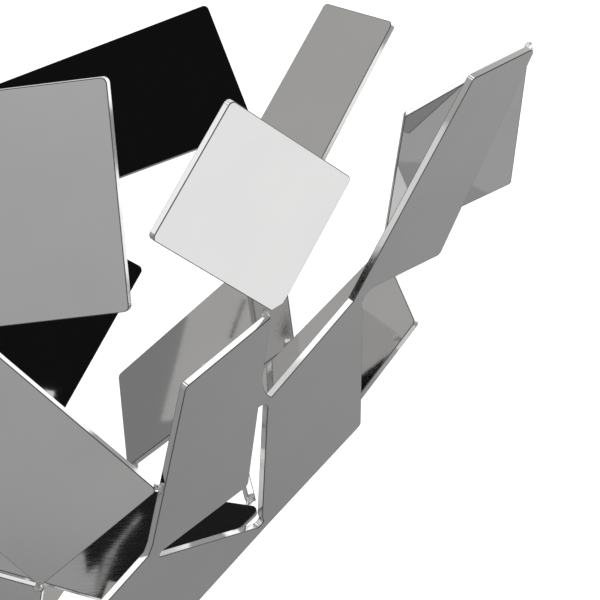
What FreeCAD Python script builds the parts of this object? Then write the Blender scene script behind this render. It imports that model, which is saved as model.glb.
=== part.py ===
# Centrepiece bowl of flat sheet-steel panels, joined corner to corner by in-plane necks and small weld beads.
# Units are millimetres, +Z is up. The origin is the centre of the bounding box in plan, on the surface the bowl stands on.
# Each panel is a straight-sided sheet: a sketch of its outline in its own plane, padded by the sheet thickness
# away from its polished outer side, with rounded corners where the corner is free.
# Two coplanar outer sheets (right and left) carry four panels each. The left one is the right one turned half a turn.
import FreeCAD, Part
import Sketcher
import os

V = FreeCAD.Vector
doc = FreeCAD.newDocument("panel_bowl")
sheet = doc.addObject("Spreadsheet::Sheet", "Sizes")
row = [0]


def cell(alias, value):
    """One driving dimension: a label in column A and its plain number in column B."""
    row[0] += 1
    sheet.set("A%d" % row[0], alias)
    sheet.set("B%d" % row[0], "%.4f" % value)
    sheet.setAlias("B%d" % row[0], alias)


cell("sheet_thickness", 2.6)
cell("corner_radius", 2.0)

# name, position of the outline's first corner, direction of its first side, direction of the thickness,
# outline corners in the panel's plane, corners that are rounded, arcs (side number and a point on the arc)
PANELS = [
    # Upper outer panel of the right wing, up to the highest right tip.
    ("panel_right_wing_outer", (136.136, -53.198, 217.834), (0.6708227, 0.7060563, 0.2268950), (-0.7178088, 0.5412527, 0.4379451),
     [(0.000, 0.000), (33.689, -0.000), (10.338, 81.158), (-26.335, 78.687), (-36.610, 80.290)],
     [0, 1, 2], {}),
    # Lower outer panel on the right, below the wing.
    ("panel_right_lower_outer", (68.718, -54.613, 109.082), (0.6460169, 0.2831974, 0.7088451), (-0.7178088, 0.5412527, 0.4379451),
     [(0.000, 0.000), (41.577, 0.000), (44.713, 9.541), (19.873, 73.555), (-31.224, 67.670), (-30.278, 59.837), (-4.422, 4.912)],
     [3], {}),
    # Outer panel on the near right side.
    ("panel_right_near_outer", (41.627, -102.882, 124.334), (0.6959957, 0.5411556, 0.4719540), (-0.7178088, 0.5412527, 0.4379451),
     [(0.000, 0.000), (38.975, 0.000), (24.247, 82.742), (-16.797, 77.791), (-21.102, 70.031)],
     [0, 2], {}),
    # Panel running down to the base on the right.
    ("panel_right_foot_outer", (26.745, -67.834, 56.627), (0.4571642, 0.8408233, -0.2898569), (-0.7178088, 0.5412527, 0.4379451),
     [(0.000, 0.000), (8.084, -0.000), (61.985, -13.951), (67.508, -12.080), (40.535, 48.975), (-17.035, 41.049)],
     [4, 5], {}),
    # In-plane neck between wing and lower panel, right.
    ("neck_right_wing", (96.611, -42.383, 139.684), (0.6915369, 0.6272408, 0.3582538), (-0.7178088, 0.5412527, 0.4379451),
     [(0.000, 0.000), (10.399, -0.000), (5.910, 7.641), (-1.405, 0.760)],
     [], {1: (6.515, 1.298)}),
    # In-plane neck between lower and near panel, right.
    ("neck_right_near", (65.681, -65.843, 117.983), (0.2073323, 0.7666491, -0.6076697), (-0.7178088, 0.5412527, 0.4379451),
     [(0.000, 0.000), (14.648, 0.000), (19.896, 4.016), (12.583, 6.110)],
     [], {0: (6.889, 1.128), 2: (13.656, 4.523)}),
    # In-plane neck at the lower corner of the cut-out, right.
    ("neck_right_cutout", (64.694, -15.812, 54.533), (0.1803582, 0.7520958, -0.6338950), (-0.7178088, 0.5412527, 0.4379451),
     [(0.000, 0.000), (7.889, 0.000), (8.063, 3.267), (2.279, 4.009)],
     [], {3: (3.759, 1.767)}),
    # In-plane neck between near and foot panel, right.
    ("neck_right_foot", (28.233, -69.231, 60.791), (0.3537192, 0.8252880, -0.4402073), (-0.7178088, 0.5412527, 0.4379451),
     [(0.000, 0.000), (8.874, 0.000), (10.408, 2.456), (2.460, 3.931)],
     [], {1: (9.018, 1.638)}),
    # Inner panel behind the right wing.
    ("panel_right_wing_inner", (115.099, -9.006, 198.929), (0.8214759, -0.2491953, 0.5129123), (-0.1349268, 0.7889812, 0.5994192),
     [(0.000, 0.000), (51.436, 0.000), (11.070, 55.688), (-41.555, 51.199)],
     [0, 2], {}),
    # Inner panel behind the lower right panel.
    ("panel_right_lower_inner", (60.373, 46.714, 90.708), (0.6523064, -0.2038944, 0.7300161), (0.6518932, 0.6422931, -0.4031064),
     [(0.000, 0.000), (74.005, -0.000), (70.029, 35.976), (9.072, 46.204)],
     [0, 2, 3], {}),
    # Broad rear right panel.
    ("panel_rear_right_broad", (4.952, 102.863, 78.627), (0.6981113, -0.2598347, 0.6671780), (0.6621888, 0.5886939, -0.4636220),
     [(0.000, 0.000), (93.320, 0.000), (82.883, 48.391), (-8.847, 41.543)],
     [0, 1, 2, 3], {}),
    # Tall rear right panel.
    ("panel_rear_right_tall", (88.044, 104.290, 228.031), (0.7295543, -0.6691776, -0.1412512), (0.5997601, 0.7252410, -0.3381025),
     [(0.000, 0.000), (35.385, 0.000), (17.748, 91.603), (-21.895, 93.746)],
     [0, 1, 2, 3], {}),
    # Long top panel at the rear.
    ("panel_rear_top_long", (-38.210, 73.251, 199.743), (0.8025258, 0.5364637, 0.2610729), (-0.3496680, 0.7774811, -0.5227385),
     [(0.000, 0.000), (98.796, -0.000), (90.233, 54.360), (-7.026, 51.078)],
     [0, 1, 2, 3], {}),
    # Square panel standing on the near right panel.
    ("panel_near_upper_square", (57.416, -121.717, 219.927), (0.5595841, 0.6827197, -0.4698505), (-0.6426344, 0.7154294, 0.2741930),
     [(0.000, 0.000), (67.595, -0.000), (71.150, 43.142), (71.212, 46.972), (68.107, 50.815), (2.157, 49.505)],
     [0, 1, 5], {}),
    # Large near left panel, held by its corner.
    ("panel_near_left_square", (-29.379, -91.829, 140.620), (0.7237973, 0.1113252, -0.6809730), (0.1503764, 0.9377286, 0.3131327),
     [(0.000, 0.000), (83.072, 0.000), (82.402, 61.175), (-3.286, 59.647)],
     [0, 1, 2, 3], {}),
    # Tall near left panel.
    ("panel_near_left_tall", (-32.598, -95.231, 217.677), (0.9219795, -0.3555675, 0.1533808), (0.3508783, 0.9346503, 0.0575605),
     [(0.000, 0.000), (55.300, 0.000), (48.446, 74.696), (-8.602, 76.347)],
     [0, 1, 2, 3], {}),
    # Middle panel at the rear left.
    ("panel_rear_left_middle", (-19.866, 51.794, 154.321), (0.8540238, 0.1324387, -0.5030938), (-0.3801901, 0.8189830, -0.4297933),
     [(0.000, 0.000), (45.212, -0.000), (37.731, 87.700), (-5.773, 86.793)],
     [0, 1, 2, 3], {}),
    # Sloping inner panel above the base.
    ("panel_bottom_inner", (-17.237, 6.014, 64.760), (0.9770561, -0.1912363, -0.0937556), (0.0746781, 0.7198640, -0.6900862),
     [(0.000, 0.000), (83.666, -0.000), (53.394, 47.642), (-16.160, 38.940)],
     [0, 1, 2, 3], {}),
    # Strut panel between the bottom and the rear wall.
    ("panel_rear_strut", (62.491, -7.986, 58.394), (-0.1991764, 0.8370651, 0.5095594), (-0.9749099, -0.1165151, -0.1896704),
     [(0.000, 0.000), (52.565, -0.000), (79.663, 28.654), (27.098, 28.654)],
     [0, 1, 2, 3], {}),
    # Upper outer panel of the left wing, up to the highest left tip.
    ("panel_left_wing_outer", (-136.136, 41.227, 217.834), (-0.6708227, -0.7060563, 0.2268950), (0.7178088, -0.5412527, 0.4379451),
     [(0.000, 0.000), (33.689, -0.000), (10.338, 81.158), (-26.335, 78.687), (-36.610, 80.290)],
     [0, 1, 2], {}),
    # Lower outer panel on the left, below the wing.
    ("panel_left_lower_outer", (-68.718, 42.642, 109.082), (-0.6460169, -0.2831974, 0.7088451), (0.7178088, -0.5412527, 0.4379451),
     [(0.000, 0.000), (41.577, 0.000), (44.713, 9.541), (19.873, 73.555), (-31.224, 67.670), (-30.278, 59.837), (-4.422, 4.912)],
     [3], {}),
    # Outer panel on the far left side.
    ("panel_left_far_outer", (-41.627, 90.910, 124.334), (-0.6959957, -0.5411556, 0.4719540), (0.7178088, -0.5412527, 0.4379451),
     [(0.000, 0.000), (38.975, 0.000), (24.247, 82.742), (-16.797, 77.791), (-21.102, 70.031)],
     [0, 2], {}),
    # Panel running down to the base on the left.
    ("panel_left_foot_outer", (-26.745, 55.863, 56.627), (-0.4571642, -0.8408233, -0.2898569), (0.7178088, -0.5412527, 0.4379451),
     [(0.000, 0.000), (8.084, 0.000), (61.985, -13.951), (67.508, -12.080), (40.535, 48.975), (-17.035, 41.049)],
     [4, 5], {}),
    # In-plane neck between wing and lower panel, left.
    ("neck_left_wing", (-96.611, 30.411, 139.684), (-0.6915369, -0.6272408, 0.3582538), (0.7178088, -0.5412527, 0.4379451),
     [(0.000, 0.000), (10.399, -0.000), (5.910, 7.641), (-1.405, 0.760)],
     [], {1: (6.515, 1.298)}),
    # In-plane neck between lower and far panel, left.
    ("neck_left_far", (-65.681, 53.872, 117.983), (-0.2073323, -0.7666491, -0.6076697), (0.7178088, -0.5412527, 0.4379451),
     [(0.000, 0.000), (14.648, -0.000), (19.896, 4.016), (12.583, 6.110)],
     [], {0: (6.889, 1.128), 2: (13.656, 4.523)}),
    # In-plane neck at the lower corner of the cut-out, left.
    ("neck_left_cutout", (-64.694, 3.841, 54.533), (-0.1803582, -0.7520958, -0.6338950), (0.7178088, -0.5412527, 0.4379451),
     [(0.000, 0.000), (7.889, 0.000), (8.063, 3.267), (2.279, 4.009)],
     [], {3: (3.759, 1.767)}),
    # In-plane neck between far and foot panel, left.
    ("neck_left_foot", (-28.233, 57.259, 60.791), (-0.3537192, -0.8252880, -0.4402073), (0.7178088, -0.5412527, 0.4379451),
     [(0.000, 0.000), (8.874, 0.000), (10.408, 2.456), (2.460, 3.931)],
     [], {1: (9.018, 1.638)}),
    # Inner panel behind the left wing.
    ("panel_left_wing_inner", (-115.099, -2.966, 198.929), (-0.8214759, 0.2491953, 0.5129123), (0.1349268, -0.7889812, 0.5994192),
     [(0.000, 0.000), (51.436, 0.000), (11.070, 55.688), (-41.555, 51.199)],
     [0, 2], {}),
    # Inner panel behind the lower left panel.
    ("panel_left_lower_inner", (-60.373, -58.685, 90.708), (-0.6523064, 0.2038944, 0.7300161), (-0.6518932, -0.6422931, -0.4031064),
     [(0.000, 0.000), (74.005, -0.000), (70.029, 35.976), (9.072, 46.204)],
     [0, 2, 3], {}),
    # Square panel standing on the far left panel.
    ("panel_far_upper_square", (-57.416, 109.746, 219.927), (-0.5595841, -0.6827197, -0.4698505), (0.6426344, -0.7154294, 0.2741930),
     [(0.000, 0.000), (67.595, 0.000), (71.150, 43.142), (71.212, 46.972), (68.107, 50.815), (2.157, 49.505)],
     [0, 1, 5], {}),
    # Tall panel at the left front.
    ("panel_left_front_tall", (-77.809, -92.259, 225.675), (-0.7295543, 0.6691776, -0.1412512), (-0.5997601, -0.7252410, -0.3381025),
     [(0.000, 0.000), (35.385, 0.000), (17.748, 91.603), (-21.895, 93.746)],
     [0, 1, 2, 3], {}),
    # Small link panel on the left.
    ("panel_left_link", (-62.148, -66.548, 134.936), (0.0978123, 0.1112385, -0.9889685), (-0.4929226, 0.8686946, 0.0489585),
     [(0.000, 0.000), (43.711, 0.000), (81.030, 19.001), (37.320, 19.001)],
     [0, 1, 2, 3], {}),
    # Flat base plate.
    ("panel_base", (2.000, -53.986, 2.600), (0.5869676, 0.8096104, 0.0000000), (0.0000000, 0.0000000, -1.0000000),
     [(0.000, 0.000), (98.813, 0.000), (75.375, -59.587), (-23.438, -59.587)],
     [0, 1, 2, 3], {}),
    # Riser from the base to the near panels.
    ("panel_near_base_riser", (-10.434, -60.026, 42.510), (-0.9552002, 0.2242229, 0.1931752), (0.2659626, 0.9366510, 0.2279225),
     [(0.000, 0.000), (41.434, 0.000), (42.727, -48.163), (1.463, -39.811)],
     [0, 1, 2, 3], {}),
    # Riser from the base to the rear panels.
    ("panel_rear_base_riser", (11.087, 71.863, 47.004), (0.6746558, -0.5548558, -0.4868003), (0.2154112, 0.7787943, -0.5891329),
     [(0.000, 0.000), (21.538, 0.000), (55.991, 23.176), (36.530, 37.865)],
     [0, 1, 2, 3], {}),
]

LETTERS = "abcdefgh"
bodies = {}


def arc_radius(p, m, q):
    return Part.Arc(V(p[0], p[1], 0), V(m[0], m[1], 0), V(q[0], q[1], 0)).toShape().Curve.Radius


def placement(at, along, deep):
    """Local X along the first side, local Z along the thickness."""
    x, z = V(*along).normalize(), V(*deep).normalize()
    y = z.cross(x)
    return FreeCAD.Placement(FreeCAD.Matrix(x.x, y.x, z.x, at[0], x.y, y.y, z.y, at[1], x.z, y.z, z.z, at[2], 0, 0, 0, 1))


# the corner positions go into the sheet first
for name, at, along, deep, outline, rounded, arcs in PANELS:
    for i, (px, py) in enumerate(outline):
        if i == 0:
            continue
        cell("%s_%s_along" % (name, LETTERS[i]), px)
        if i > 1:
            cell("%s_%s_across" % (name, LETTERS[i]), py)
    for i, m in arcs.items():
        cell("%s_%s_bend" % (name, LETTERS[i]), arc_radius(outline[i], m, outline[(i + 1) % len(outline)]))

# name, the two panels it joins, other sheet pieces it must clear, centre, radius
BEADS = [
    ("weld_right_wing_outer_to_right_wing_inner", "panel_right_wing_outer", "panel_right_wing_inner", [], (156.497, -24.554, 224.703), 4.51),
    ("weld_right_near_outer_to_near_upper_square", "panel_right_near_outer", "panel_near_upper_square", [], (67.075, -80.644, 144.934), 2.71),
    ("weld_right_near_outer_to_near_left_square", "panel_right_near_outer", "panel_near_left_square", [], (30.692, -79.807, 84.458), 2.20),
    ("weld_right_foot_outer_to_bottom_inner", "panel_right_foot_outer", "panel_bottom_inner", [], (26.444, -36.288, 25.415), 2.66),
    ("weld_right_foot_outer_to_base", "panel_right_foot_outer", "panel_base", [], (17.603, -33.256, 3.554), 2.66),
    ("weld_right_wing_inner_to_right_lower_inner", "panel_right_wing_inner", "panel_right_lower_inner", [], (108.958, 31.038, 145.575), 2.67),
    ("weld_right_lower_inner_to_rear_right_broad", "panel_right_lower_inner", "panel_rear_right_broad", [], (75.157, 44.533, 104.624), 2.20),
    ("weld_rear_right_broad_to_rear_right_tall", "panel_rear_right_broad", "panel_rear_right_tall", [], (69.688, 78.456, 140.135), 2.20),
    ("weld_rear_right_broad_to_rear_strut", "panel_rear_right_broad", "panel_rear_strut", [], (47.872, 58.991, 78.487), 2.20),
    ("weld_rear_right_broad_to_rear_base_riser", "panel_rear_right_broad", "panel_rear_base_riser", [], (13.083, 72.756, 46.253), 4.33),
    ("weld_rear_right_tall_to_rear_top_long", "panel_rear_right_tall", "panel_rear_top_long", [], (60.223, 103.946, 179.056), 2.20),
    ("weld_rear_top_long_to_rear_left_middle", "panel_rear_top_long", "panel_rear_left_middle", [], (-19.456, 54.585, 154.141), 3.32),
    ("weld_near_left_square_to_near_left_tall", "panel_near_left_square", "panel_near_left_tall", [], (-27.206, -89.664, 141.180), 2.76),
    ("weld_near_left_square_to_left_front_tall", "panel_near_left_square", "panel_left_front_tall", [], (-31.604, -90.326, 140.574), 2.90),
    ("weld_near_left_square_to_left_link", "panel_near_left_square", "panel_left_link", [], (-70.648, -69.857, 103.485), 2.20),
    ("weld_near_left_square_to_near_base_riser", "panel_near_left_square", "panel_near_base_riser", [], (-11.660, -60.162, 44.203), 3.15),
    ("weld_bottom_inner_to_rear_strut", "panel_bottom_inner", "panel_rear_strut", [], (59.356, -5.948, 56.532), 3.00),
    ("weld_left_wing_outer_to_left_wing_inner", "panel_left_wing_outer", "panel_left_wing_inner", [], (-156.497, 12.583, 224.703), 4.51),
    ("weld_left_far_outer_to_far_upper_square", "panel_left_far_outer", "panel_far_upper_square", [], (-67.075, 68.673, 144.934), 2.71),
    ("weld_left_foot_outer_to_base", "panel_left_foot_outer", "panel_base", [], (-17.603, 21.285, 3.554), 2.66),
    ("weld_left_wing_inner_to_left_lower_inner", "panel_left_wing_inner", "panel_left_lower_inner", [], (-108.958, -43.010, 145.575), 2.67),
    ("weld_left_lower_inner_to_left_link", "panel_left_lower_inner", "panel_left_link", [], (-62.691, -60.490, 90.406), 2.35),
    ("weld_base_to_near_base_riser", "panel_base", "panel_near_base_riser", [], (-55.082, -38.172, 3.700), 2.70),
    ("weld_base_to_rear_base_riser", "panel_base", "panel_rear_base_riser", [], (29.764, 34.524, 3.538), 2.76),
]
for name, first, second, clear, centre, radius in BEADS:
    cell(name + "_radius", radius)
doc.recompute()

for name, at, along, deep, outline, rounded, arcs in PANELS:
    body = doc.addObject("PartDesign::Body", name)
    body.Label = name
    plane = [o for o in body.Origin.OriginFeatures if o.Role == "XY_Plane"][0]
    sk = body.newObject("Sketcher::SketchObject", name + "_outline")
    sk.AttachmentSupport = [(plane, "")]
    sk.MapMode = "FlatFace"
    count = len(outline)
    for i in range(count):
        p, q = outline[i], outline[(i + 1) % count]
        if i in arcs:
            m = arcs[i]
            sk.addGeometry(Part.Arc(V(p[0], p[1], 0), V(m[0], m[1], 0), V(q[0], q[1], 0)), False)
        else:
            sk.addGeometry(Part.LineSegment(V(p[0], p[1], 0), V(q[0], q[1], 0)), False)

    def ends(i):
        """Which end of side i lies at its first outline corner, and which at its second."""
        first = sk.getPoint(i, 1)
        p = outline[i]
        return (1, 2) if (first - V(p[0], p[1], 0)).Length < 0.01 else (2, 1)

    tails = [ends(i) for i in range(count)]
    for i in range(count):
        sk.addConstraint(Sketcher.Constraint("Coincident", i, tails[i][1], (i + 1) % count, tails[(i + 1) % count][0]))
    sk.addConstraint(Sketcher.Constraint("Coincident", 0, tails[0][0], -1, 1))
    sk.addConstraint(Sketcher.Constraint("PointOnObject", 1, tails[1][0], -1))
    for i, (px, py) in enumerate(outline):
        if i == 0:
            continue
        n = sk.addConstraint(Sketcher.Constraint("DistanceX", -1, 1, i, tails[i][0], px))
        sk.setExpression("Constraints[%d]" % n, "Sizes.%s_%s_along" % (name, LETTERS[i]))
        if i > 1:
            n = sk.addConstraint(Sketcher.Constraint("DistanceY", -1, 1, i, tails[i][0], py))
            sk.setExpression("Constraints[%d]" % n, "Sizes.%s_%s_across" % (name, LETTERS[i]))
    for i in arcs:
        r = arc_radius(outline[i], arcs[i], outline[(i + 1) % count])
        n = sk.addConstraint(Sketcher.Constraint("Radius", i, r))
        sk.setExpression("Constraints[%d]" % n, "Sizes.%s_%s_bend" % (name, LETTERS[i]))
    pad = body.newObject("PartDesign::Pad", name + "_sheet")
    pad.Profile = sk
    pad.setExpression("Length", "Sizes.sheet_thickness")
    doc.recompute()
    picked = []
    for n, e in enumerate(pad.Shape.Edges):
        ends_at = [v.Point for v in e.Vertexes]
        if len(ends_at) == 2 and abs(abs(ends_at[0].z - ends_at[1].z) - 2.6) < 0.01:
            if any((V(outline[i][0], outline[i][1], ends_at[0].z) - ends_at[0]).Length < 0.02 for i in rounded):
                picked.append("Edge%d" % (n + 1))
    if len(picked) != len(rounded):
        raise RuntimeError("%s: %d corners found, %d wanted" % (name, len(picked), len(rounded)))
    if picked:
        fil = body.newObject("PartDesign::Fillet", name + "_corners")
        fil.Base = (pad, picked)
        fil.setExpression("Radius", "Sizes.corner_radius")
        body.Tip = fil
    body.Placement = placement(at, along, deep)
    bodies[name] = body

# weld beads: a small ball of filler between two sheet edges, less the sheets themselves
beads = {}
for name, first, second, clear, centre, radius in BEADS:
    ball = doc.addObject("Part::Sphere", name + "_ball")
    ball.setExpression("Radius", "Sizes.%s_radius" % name)
    ball.Placement = FreeCAD.Placement(V(*centre), FreeCAD.Rotation())
    made = ball
    tools = [first, second] + clear
    for n, tool in enumerate(tools):
        cut = doc.addObject("Part::Cut", name if n == len(tools) - 1 else "%s_less_%d" % (name, n))
        cut.Base, cut.Tool = made, bodies[tool]
        cut.Refine = True
        made = cut
    made.Label = name
    beads[name] = made
doc.recompute()

for obj in doc.Objects:
    if any(word in state for state in obj.State for word in ("Invalid", "Error")):
        raise RuntimeError("%s failed: %s" % (obj.Name, obj.State))
os.makedirs("parts", exist_ok=True)
for name, obj in list(bodies.items()) + list(beads.items()):
    shape = obj.Shape
    if shape.isNull() or not shape.isValid() or len(shape.Solids) != 1 or shape.Volume < 1.0:
        raise RuntimeError("%s is not one valid solid" % name)
    shape.exportStep("parts/%s.step" % name)
print(len(bodies), "sheet pieces,", len(beads), "weld beads")
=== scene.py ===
import bpy, bmesh, math
from mathutils import Vector, Matrix, geometry
from mathutils.bvhtree import BVHTree


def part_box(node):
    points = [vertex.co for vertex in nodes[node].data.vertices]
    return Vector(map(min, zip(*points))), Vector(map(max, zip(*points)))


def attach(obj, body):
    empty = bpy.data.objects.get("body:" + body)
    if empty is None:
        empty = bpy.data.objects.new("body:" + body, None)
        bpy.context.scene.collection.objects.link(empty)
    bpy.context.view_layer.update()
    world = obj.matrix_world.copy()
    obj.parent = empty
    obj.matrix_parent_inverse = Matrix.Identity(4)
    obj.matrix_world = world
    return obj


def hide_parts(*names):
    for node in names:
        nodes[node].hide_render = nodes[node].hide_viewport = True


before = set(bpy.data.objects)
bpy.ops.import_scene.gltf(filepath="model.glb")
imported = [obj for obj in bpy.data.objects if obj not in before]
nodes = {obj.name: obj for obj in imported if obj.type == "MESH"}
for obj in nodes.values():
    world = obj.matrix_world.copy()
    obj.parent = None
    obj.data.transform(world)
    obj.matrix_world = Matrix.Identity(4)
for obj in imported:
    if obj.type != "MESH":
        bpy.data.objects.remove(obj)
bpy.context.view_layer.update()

# ------------------------------------------------------------------ materials
def new_mat(name):
    m = bpy.data.materials.new(name)
    m.use_nodes = True
    nt = m.node_tree
    nt.nodes.clear()
    out = nt.nodes.new("ShaderNodeOutputMaterial")
    return m, nt, out


def steel(name, base, rough, ripple=0.00006, scratch=0.0035):
    """Mirror-polished stainless sheet: faint polishing haze, hairlines and a very shallow rolling waviness."""
    m, nt, out = new_mat(name)
    N = nt.nodes.new
    b = N("ShaderNodeBsdfPrincipled")
    b.inputs["Metallic"].default_value = 1.0
    nt.links.new(b.outputs[0], out.inputs[0])
    co = N("ShaderNodeTexCoord")
    haze = N("ShaderNodeTexNoise")
    haze.inputs["Scale"].default_value = 38.0
    haze.inputs["Detail"].default_value = 5.0
    nt.links.new(co.outputs["Object"], haze.inputs["Vector"])
    tone = N("ShaderNodeValToRGB")
    tone.color_ramp.elements[0].position, tone.color_ramp.elements[1].position = 0.35, 0.65
    tone.color_ramp.elements[0].color = (base[0] * 0.975, base[1] * 0.975, base[2] * 0.978, 1)
    tone.color_ramp.elements[1].color = (*base, 1)
    nt.links.new(haze.outputs["Fac"], tone.inputs["Fac"])
    nt.links.new(tone.outputs[0], b.inputs["Base Color"])
    # hairlines left by the polishing wheel
    mp = N("ShaderNodeMapping")
    mp.inputs["Scale"].default_value = (60.0, 2600.0, 900.0)
    mp.inputs["Rotation"].default_value = (0.3, 0.5, 0.9)
    nt.links.new(co.outputs["Object"], mp.inputs["Vector"])
    hair = N("ShaderNodeTexNoise")
    hair.inputs["Scale"].default_value = 1.0
    hair.inputs["Detail"].default_value = 3.0
    nt.links.new(mp.outputs[0], hair.inputs["Vector"])
    mixr = N("ShaderNodeMapRange")
    mixr.inputs["From Min"].default_value, mixr.inputs["From Max"].default_value = 0.3, 0.8
    mixr.inputs["To Min"].default_value, mixr.inputs["To Max"].default_value = rough, rough + 0.035
    nt.links.new(hair.outputs["Fac"], mixr.inputs["Value"])
    nt.links.new(mixr.outputs[0], b.inputs["Roughness"])
    wave = N("ShaderNodeTexNoise")
    wave.inputs["Scale"].default_value = 14.0
    wave.inputs["Detail"].default_value = 1.0
    nt.links.new(co.outputs["Object"], wave.inputs["Vector"])
    bump = N("ShaderNodeBump")
    bump.inputs["Strength"].default_value = 1.0
    bump.inputs["Distance"].default_value = ripple
    nt.links.new(wave.outputs["Fac"], bump.inputs["Height"])
    bump2 = N("ShaderNodeBump")
    bump2.inputs["Strength"].default_value = 0.25
    bump2.inputs["Distance"].default_value = 0.000002
    nt.links.new(hair.outputs["Fac"], bump2.inputs["Height"])
    nt.links.new(bump.outputs[0], bump2.inputs["Normal"])
    nt.links.new(bump2.outputs[0], b.inputs["Normal"])
    return m


SHEET = steel("mirror_polished_sheet", (0.83, 0.83, 0.825), 0.02)
EDGE = steel("polished_cut_edge", (0.86, 0.86, 0.855), 0.07, ripple=0.00012)
# the rounded arrises get a much darker copy of the steel: painted shade that draws a dark outline along every sheet
# edge
ARRIS_PAINTED_SHADE = steel("arris_painted_dark_outline", (0.20, 0.20, 0.205), 0.16, ripple=0.0002)
BEAD = steel("polished_weld", (0.78, 0.78, 0.775), 0.08, ripple=0.0002)

# ------------------------------------------------------------------ sheet pieces from the CAD outlines
ARRIS = 0.00028
STEPS = 3


def caps(obj, n=None):
    """Outward normal of the big face (the one facing n if given), the edges round it, and the thickness."""
    bm = bmesh.new()
    bm.from_mesh(obj.data)
    bmesh.ops.remove_doubles(bm, verts=bm.verts, dist=2e-6)
    bm.normal_update()
    if n is None:
        n = max(bm.faces, key=lambda f: f.calc_area()).normal.copy()
    low = min(v.co.dot(n) for v in bm.verts)
    top = max(v.co.dot(n) for v in bm.verts)
    cap = [f for f in bm.faces if f.normal.dot(n) > 0.999 and abs(f.calc_center_median().dot(n) - top) < 2e-5]
    segs = []
    for f in cap:
        for l in f.loops:
            e = l.edge
            if sum(1 for g in e.link_faces if g in cap) == 1:
                segs.append((l.vert.co.copy(), l.link_loop_next.vert.co.copy()))
    bm.free()
    return n, segs, top - low


def weld_points(segs, tol=4e-5):
    pts = []

    def key(p):
        for i, q in enumerate(pts):
            if (p - q).length < tol:
                return i
        pts.append(p)
        return len(pts) - 1

    out = [(key(a), key(b)) for a, b in segs]
    return pts, [(a, b) for a, b in out if a != b]


def union_loops(segs):
    """Outline loops of coplanar pieces that meet along shared stretches of edge."""
    pts, es = weld_points(segs)
    cut = []
    for a, b in es:
        A, B = pts[a], pts[b]
        d = B - A
        on = []
        for i, p in enumerate(pts):
            if i in (a, b):
                continue
            t = (p - A).dot(d) / d.length_squared
            if 0.0 < t < 1.0 and (A + d * t - p).length < 4e-5:
                on.append((t, i))
        chain = [a] + [i for _, i in sorted(on)] + [b]
        cut += list(zip(chain, chain[1:]))
    have = set(cut)
    keep = [(a, b) for a, b in cut if (b, a) not in have]
    # close the hairline openings left where two pieces meet at a point
    outs, ins = [a for a, _ in keep], [b for _, b in keep]
    for end in [i for i in set(ins) if ins.count(i) > outs.count(i)]:
        starts = [i for i in set(outs) if outs.count(i) > ins.count(i)]
        if starts:
            near = min(starts, key=lambda i: (pts[i] - pts[end]).length)
            keep.append((end, near))
            outs.append(end)
            ins.append(near)
    nxt = {}
    for a, b in keep:
        nxt.setdefault(a, []).append(b)
    loops = []
    while nxt:
        start = next(iter(nxt))
        loop, cur = [], start
        while cur in nxt:
            loop.append(pts[cur])
            following = nxt[cur].pop(0)
            if not nxt[cur]:
                del nxt[cur]
            cur = following
            if cur == start:
                break
        if len(loop) > 2:
            loops.append(loop)
    return loops


def tidy(loop):
    """Drop points that lie on a straight stretch."""
    out = []
    m = len(loop)
    for i in range(m):
        a, p, b = loop[i - 1], loop[i], loop[(i + 1) % m]
        if (p - a).length < 3e-5:
            continue
        d = (b - a)
        off = (p - a) - d * ((p - a).dot(d) / max(d.length_squared, 1e-18))
        if off.length > 4e-6:
            out.append(p)
    return out


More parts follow.
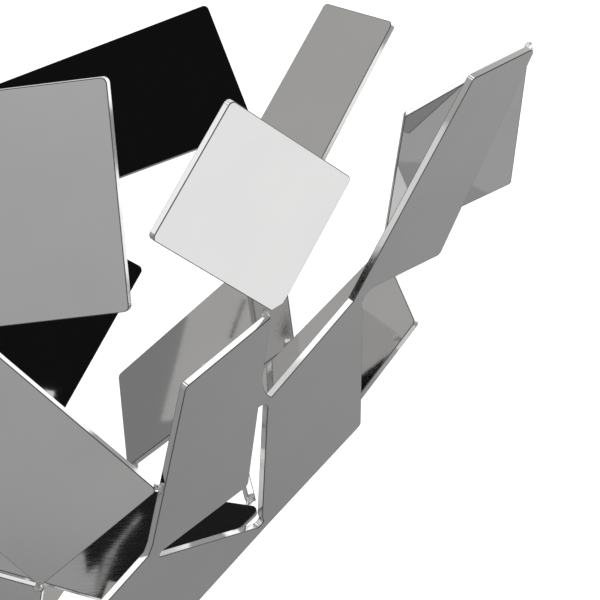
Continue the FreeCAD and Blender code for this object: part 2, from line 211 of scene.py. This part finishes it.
def plate(name, loops, n, thick):
    """A flat sheet with finely rounded arrises: exact normals on the faces, edge walls and arrises."""
    loops = [tidy(l) for l in loops]
    x = n.orthogonal().normalized()
    y = n.cross(x)
    verts, faces, normals, mats = [], [], [], []
    cap_top, cap_low = [], []
    prof = []
    for k in range(STEPS + 1):
        a = math.pi / 2 * (1 - k / STEPS)
        prof.append((ARRIS * (1 - math.cos(a)), ARRIS * (1 - math.sin(a)), a))   # inset, depth, normal angle
    for k in range(STEPS + 1):
        a = math.pi / 2 * (k / STEPS)
        prof.append((ARRIS * (1 - math.cos(a)), thick - ARRIS * (1 - math.sin(a)), -a))
    for loop in loops:
        m = len(loop)
        dirs = [(loop[(i + 1) % m] - loop[i]).normalized() for i in range(m)]
        outs = [d.cross(n).normalized() for d in dirs]        # outward for a loop that runs anticlockwise about n
        mit = []
        for i in range(m):
            s = outs[i - 1] + outs[i]
            s = s / max(s.length_squared / 2, 0.2)
            mit.append(s)
        ring = []
        for inset, depth, ang in prof:
            base = len(verts)
            for i in range(m):
                verts.append(loop[i] - mit[i] * inset - n * depth)
            ring.append(base)
        for r in range(len(prof) - 1):
            for i in range(m):
                j = (i + 1) % m
                faces.append((ring[r] + i, ring[r + 1] + i, ring[r + 1] + j, ring[r] + j))
                # edge walls take the cut-edge steel; the arrises take the darkened steel, a painted shade outline along
                # the edges
                mats.append(1 if r == STEPS else 2)
                na = outs[i] if outs[i - 1].dot(outs[i]) < 0.93 else (outs[i - 1] + outs[i]).normalized()
                nb = outs[i] if outs[j].dot(outs[i]) < 0.93 else (outs[j] + outs[i]).normalized()
                up, dn = prof[r][2], prof[r + 1][2]
                f = lambda w, a: w * math.cos(a) + n * math.sin(a)
                normals.append((f(na, up), f(na, dn), f(nb, dn), f(nb, up)))
        cap_top.append(([verts[ring[0] + i] for i in range(m)], ring[0]))
        cap_low.append(([verts[ring[-1] + i] for i in range(m)], ring[-1]))
    for caps_, sgn in ((cap_top, 1), (cap_low, -1)):
        flat, index, rims, at = [], [], [], 0
        for ps, start in caps_:
            flat += [Vector((p.dot(x), p.dot(y))) for p in ps]
            index += [start + i for i in range(len(ps))]
            rims.append([at + i for i in range(len(ps))])
            at += len(ps)
        edges = [(r[i - 1], r[i]) for r in rims for i in range(len(r))]
        _v, _e, tris, orig, _oe, _of = geometry.delaunay_2d_cdt(flat, edges, [], 0, 1e-7)
        for t in tris:
            src = [orig[i][0] if orig[i] else None for i in t]
            if None in src:
                continue
            cx = sum(flat[i].x for i in src) / 3
            cy = sum(flat[i].y for i in src) / 3
            hits = 0
            for ea, eb in edges:
                p, q = flat[ea], flat[eb]
                if (p.y > cy) != (q.y > cy) and cx < (q.x - p.x) * (cy - p.y) / (q.y - p.y) + p.x:
                    hits += 1
            if hits % 2 == 0:
                continue
            tri = [index[i] for i in src]
            a, b, c = (verts[i] for i in tri)
            if (b - a).cross(c - a).dot(n) * sgn < 0:
                tri.reverse()
            faces.append(tuple(tri))
            mats.append(0)
            normals.append((n * sgn,) * 3)
    me = bpy.data.meshes.new(name)
    me.from_pydata([v[:] for v in verts], [], faces)
    me.update()
    flatn = []
    for f, ns, k in zip(me.polygons, normals, mats):
        f.use_smooth = True
        f.material_index = k
        flatn += [v.normalized()[:] for v in ns]
    # from_pydata keeps the corner order of each face
    me.normals_split_custom_set(flatn)
    o = bpy.data.objects.new(name, me)
    bpy.context.scene.collection.objects.link(o)
    for k in (SHEET, EDGE, ARRIS_PAINTED_SHADE):
        o.data.materials.append(k)
    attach(o, "root")
    return o


GROUPS = {
    "sheet_right_outer": ["panel_right_wing_outer", "panel_right_lower_outer", "panel_right_near_outer", "panel_right_foot_outer",
                          "neck_right_wing", "neck_right_near", "neck_right_cutout", "neck_right_foot"],
    "sheet_left_outer": ["panel_left_wing_outer", "panel_left_lower_outer", "panel_left_far_outer", "panel_left_foot_outer",
                         "neck_left_wing", "neck_left_far", "neck_left_cutout", "neck_left_foot"],
}
grouped = {k for v in GROUPS.values() for k in v}
made = {}
for name, members in GROUPS.items():
    n0, segs, thick = caps(nodes[members[0]])
    for other in members[1:]:
        segs += caps(nodes[other], n0)[1]
    o = plate(name, union_loops(segs), n0, thick)
    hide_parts(*members)
    made[name] = o
for key in sorted(nodes):
    if key.startswith("panel_") and key not in grouped:
        n0, segs, thick = caps(nodes[key])
        o = plate("sheet_" + key[6:], union_loops(segs), n0, thick)
        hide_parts(key)
        made[key] = o

# ------------------------------------------------------------------ fused joints: a waisted bridge of filler between two sheets
trees = {}
for key, o in nodes.items():
    if key.startswith("panel_") or key.startswith("neck_"):
        bm = bmesh.new()
        bm.from_mesh(o.data)
        trees[key] = BVHTree.FromBMesh(bm)
        bm.free()


def bridge(name, key):
    lo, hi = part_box(key)
    c = (lo + hi) / 2
    near = sorted(((t.find_nearest(c)[3], k) for k, t in trees.items()))[:2]
    p, q = (trees[k].find_nearest(c)[0] for _, k in near)
    mid = (p + q) / 2
    q = trees[near[1][1]].find_nearest(p)[0]
    p = trees[near[0][1]].find_nearest(q)[0]
    axis = (q - p)
    gap = max(axis.length, 0.0002)
    axis = axis.normalized() if axis.length > 1e-6 else Vector((0, 0, 1))
    x = axis.orthogonal().normalized()
    y = axis.cross(x)
    bm = bmesh.new()
    rings = []
    sink = 0.0009
    M, S = 24, 12
    for k in range(S + 1):
        t = k / S
        s = -sink + (gap + 2 * sink) * t
        w = abs(2 * t - 1)
        r = 0.00095 + 0.00085 * w ** 2.2
        if k in (0, S):
            r *= 0.8
        rings.append([bm.verts.new(p + axis * s + (x * math.cos(a) + y * math.sin(a)) * r)
                      for a in (2 * math.pi * i / M for i in range(M))])
    for a, b in zip(rings, rings[1:]):
        for i in range(M):
            bm.faces.new((a[i], a[(i + 1) % M], b[(i + 1) % M], b[i]))
    bm.faces.new(list(reversed(rings[0])))
    bm.faces.new(rings[-1])
    me = bpy.data.meshes.new(name)
    bm.to_mesh(me)
    bm.free()
    for f in me.polygons:
        f.use_smooth = len(f.vertices) == 4
    o = bpy.data.objects.new(name, me)
    bpy.context.scene.collection.objects.link(o)
    o.data.materials.append(BEAD)
    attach(o, "root")
    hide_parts(key)
    return o


for key in sorted(nodes):
    if key.startswith("weld_"):
        bridge("joint_" + key[5:], key)

# ------------------------------------------------------------------ stage
def card(name, pts, colour, strength=0.0, rough=0.9):
    me = bpy.data.meshes.new(name)
    me.from_pydata(pts, [], [tuple(range(len(pts)))])
    o = bpy.data.objects.new(name, me)
    bpy.context.scene.collection.objects.link(o)
    m, nt, out = new_mat(name)
    if strength > 0:
        e = nt.nodes.new("ShaderNodeEmission")
        e.inputs["Color"].default_value = (*colour, 1)
        e.inputs["Strength"].default_value = strength
        nt.links.new(e.outputs[0], out.inputs[0])
    else:
        e = nt.nodes.new("ShaderNodeBsdfDiffuse")
        e.inputs["Color"].default_value = (*colour, 1)
        nt.links.new(e.outputs[0], out.inputs[0])
    me.materials.append(m)
    return o


# pale floor for the eye; the sheets see the same floor through a grey gobo, as in a product booth
pale = card("floor", [(-4, -4, -0.0002), (4, -4, -0.0002), (4, 4, -0.0002), (-4, 4, -0.0002)], (0.8, 0.8, 0.8))
m = pale.data.materials[0]
nt = m.node_tree
e = nt.nodes.new("ShaderNodeEmission")
e.inputs["Strength"].default_value = 0.78
d = nt.nodes.get("Diffuse BSDF")
add = nt.nodes.new("ShaderNodeAddShader")
nt.links.new(d.outputs[0], add.inputs[0])
nt.links.new(e.outputs[0], add.inputs[1])
nt.links.new(add.outputs[0], nt.nodes.get("Material Output").inputs[0])
pale.visible_glossy = False

grey = card("gobo_floor", [(-1.6, -1.6, -0.0006), (0.62, -1.6, -0.0006), (0.62, 0.55, -0.0006), (-1.6, 0.55, -0.0006)], (1, 1, 1), 0.33)
grey.visible_camera = False
grey.visible_diffuse = False
grey.visible_shadow = False
# its tone falls off towards the middle, under the bowl
nt = grey.data.materials[0].node_tree
pos = nt.nodes.new("ShaderNodeNewGeometry")
sep = nt.nodes.new("ShaderNodeSeparateXYZ")
nt.links.new(pos.outputs["Position"], sep.inputs[0])


def ramp(axis, a, b, lo_, hi_, smooth=False):
    mr = nt.nodes.new("ShaderNodeMapRange")
    if smooth:
        mr.interpolation_type = "SMOOTHSTEP"
    for key, v in (("From Min", a), ("From Max", b), ("To Min", lo_), ("To Max", hi_)):
        mr.inputs[key].default_value = v
    nt.links.new(sep.outputs[axis], mr.inputs["Value"])
    return mr.outputs[0]


parts = [ramp("X", 0.10, 0.45, 0.278, 0.352), ramp("Y", -0.14, -0.06, 0.088, 0.0, True), ramp("Y", -0.80, -0.14, 0.085, 0.0)]
total = parts[0]
for extra in parts[1:]:
    ad = nt.nodes.new("ShaderNodeMath")
    nt.links.new(total, ad.inputs[0])
    nt.links.new(extra, ad.inputs[1])
    total = ad.outputs[0]
nt.links.new(total, nt.nodes.get("Emission").inputs["Strength"])


def gobo(name, pts, level):
    o = card(name, pts, (1, 1, 1), level)
    o.visible_camera = False
    o.visible_diffuse = False
    o.visible_shadow = False
    return o


# cards and flags round the bowl, each placed for the sheet that looks at it
gobo("gobo_bright", [(0.265, -0.165, 0.001), (0.47, -0.165, 0.001), (0.47, -0.03, 0.001), (0.265, -0.03, 0.001)], 0.915)
gobo("gobo_mid", [(0.13, -0.08, 0.001), (0.26, -0.08, 0.001), (0.26, 0.03, 0.001), (0.21, 0.024, 0.001),
                  (0.165, -0.009, 0.001), (0.13, -0.018, 0.001)], 0.37)
gobo("gobo_rim", [(0.335, 0.10, 0.001), (0.50, 0.10, 0.001), (0.50, 0.150, 0.001), (0.335, 0.118, 0.001)], 1.05)
gobo("gobo_low_wing", [(0.1284, -0.003, 0.11), (0.1308, 0.0094, 0.11), (0.1175, 0.030, 0.11), (0.112, 0.030, 0.11), (0.116, 0.0, 0.11)], 0.62)
gobo("gobo_side_dark", [(-0.42, 0.2014, 0.2994), (-0.42, 0.1695, 0.2367), (-0.42, 0.1655, 0.2410), (-0.42, 0.1492, 0.2773),
                        (-0.42, 0.12, 0.25), (-0.42, 0.14, 0.16), (-0.42, 0.25, 0.16), (-0.42, 0.25, 0.30)], 0.215)
gobo("gobo_side_line", [(-0.4195, 0.1831, 0.3298), (-0.4195, 0.1816, 0.3312), (-0.4195, 0.1717, 0.3057), (-0.4195, 0.1733, 0.3043)], 0.12)
gobo("gobo_side_white", [(-0.25, -0.18, 0.295), (-0.25, -0.104, 0.295), (-0.25, -0.104, 0.42), (-0.25, -0.18, 0.42)], 1.0)
gobo("flag_over", [(-0.34, -0.43, 1.001), (-0.05, -0.43, 1.001), (-0.05, -0.26, 1.001), (-0.34, -0.26, 1.001)], 0.012)
gobo("flag_tip", [(-0.2139, -0.6890, 1.0), (-0.2210, -0.6845, 1.0), (-0.2058, -0.6520, 1.0)], 0.012)
gobo("slit_over", [(-0.178, -0.3282, 1.0), (-0.1759, -0.33, 1.0), (-0.1963, -0.351, 1.0), (-0.2165, -0.3876, 1.0),
                   (-0.2194, -0.3858, 1.0), (-0.2082, -0.359, 1.0)], 0.24)
gobo("slit_over_b", [(-0.2273, -0.3512, 0.999), (-0.2231, -0.3547, 0.999), (-0.2237, -0.3709, 0.999), (-0.2130, -0.365, 0.999),
                     (-0.2194, -0.3858, 0.999), (-0.2165, -0.3876, 0.999), (-0.34, -0.43, 0.999), (-0.34, -0.34, 0.999)], 0.34)

# studio surround: mid grey, dark overhead on the right, white on the upper left
world = bpy.data.worlds.new("studio")
bpy.context.scene.world = world
world.use_nodes = True
nt = world.node_tree
nt.nodes.clear()
wo = nt.nodes.new("ShaderNodeOutputWorld")
bg = nt.nodes.new("ShaderNodeBackground")
nt.links.new(bg.outputs[0], wo.inputs[0])
tc = nt.nodes.new("ShaderNodeTexCoord")
current = None


def zone(colour, direction, outer, inner):
    """Paints a soft round zone of the surround about a direction; angles in degrees."""
    global current
    d = Vector(direction).normalized()
    dot = nt.nodes.new("ShaderNodeVectorMath")
    dot.operation = "DOT_PRODUCT"
    dot.inputs[1].default_value = d
    nt.links.new(tc.outputs["Generated"], dot.inputs[0])
    mr = nt.nodes.new("ShaderNodeMapRange")
    mr.interpolation_type = "SMOOTHSTEP"
    mr.inputs["From Min"].default_value = math.cos(math.radians(outer))
    mr.inputs["From Max"].default_value = math.cos(math.radians(inner))
    nt.links.new(dot.outputs["Value"], mr.inputs["Value"])
    mix = nt.nodes.new("ShaderNodeMix")
    mix.data_type = "RGBA"
    mix.inputs[6].default_value = current if isinstance(current, tuple) else (0, 0, 0, 1)
    if not isinstance(current, tuple):
        nt.links.new(current, mix.inputs[6])
    mix.inputs[7].default_value = (*colour, 1)
    nt.links.new(mr.outputs[0], mix.inputs[0])
    current = mix.outputs[2]


current = (0.40, 0.395, 0.385, 1)
zone((1.25, 1.25, 1.25), (-0.47, -0.46, 0.76), 13, 10)
zone((1.25, 1.25, 1.25), (-0.08, -0.08, 0.99), 15, 12)
zone((0.9, 0.9, 0.9), (-0.25, 0.75, 0.6), 40, 25)
zone((0.006, 0.006, 0.006), (0.58, -0.45, 0.68), 36, 31)
zone((1.2, 1.2, 1.2), (-0.68, 0.20, 0.70), 13, 10)
zone((1.2, 1.2, 1.2), (0.65, 0.70, 0.20), 28, 25)
nt.links.new(current, bg.inputs["Color"])
# the booth's white sweep for the lens, the painted surround for everything else
lens = nt.nodes.new("ShaderNodeBackground")
lens.inputs["Color"].default_value = (1, 1, 1, 1)
lens.inputs["Strength"].default_value = 1.05
lp = nt.nodes.new("ShaderNodeLightPath")
pick = nt.nodes.new("ShaderNodeMixShader")
nt.links.new(lp.outputs["Is Camera Ray"], pick.inputs[0])
nt.links.new(bg.outputs[0], pick.inputs[1])
nt.links.new(lens.outputs[0], pick.inputs[2])
nt.links.new(pick.outputs[0], wo.inputs["Surface"])

# helper for a soft area light aimed at a target; it is not called, so no lights are made
def area(name, loc, target, size, power):
    l = bpy.data.lights.new(name, "AREA")
    l.size = size
    l.energy = power
    o = bpy.data.objects.new(name, l)
    o.location = loc
    o.rotation_euler = (Vector(target) - Vector(loc)).to_track_quat("-Z", "Y").to_euler()
    bpy.context.scene.collection.objects.link(o)
    return o


# ------------------------------------------------------------------ camera
cam = bpy.data.cameras.new("camera")
cam.lens = 155.25
cam.sensor_width = 36.0
cam.clip_start, cam.clip_end = 0.01, 50
co = bpy.data.objects.new("camera", cam)
bpy.context.scene.collection.objects.link(co)
CAM = (0.07826, -0.91057, 0.32487)
co.location = CAM
co.rotation_euler = (math.radians(90 - 12.0), 0, 0)
bpy.context.scene.camera = co
bpy.context.scene.view_settings.view_transform = "Standard"
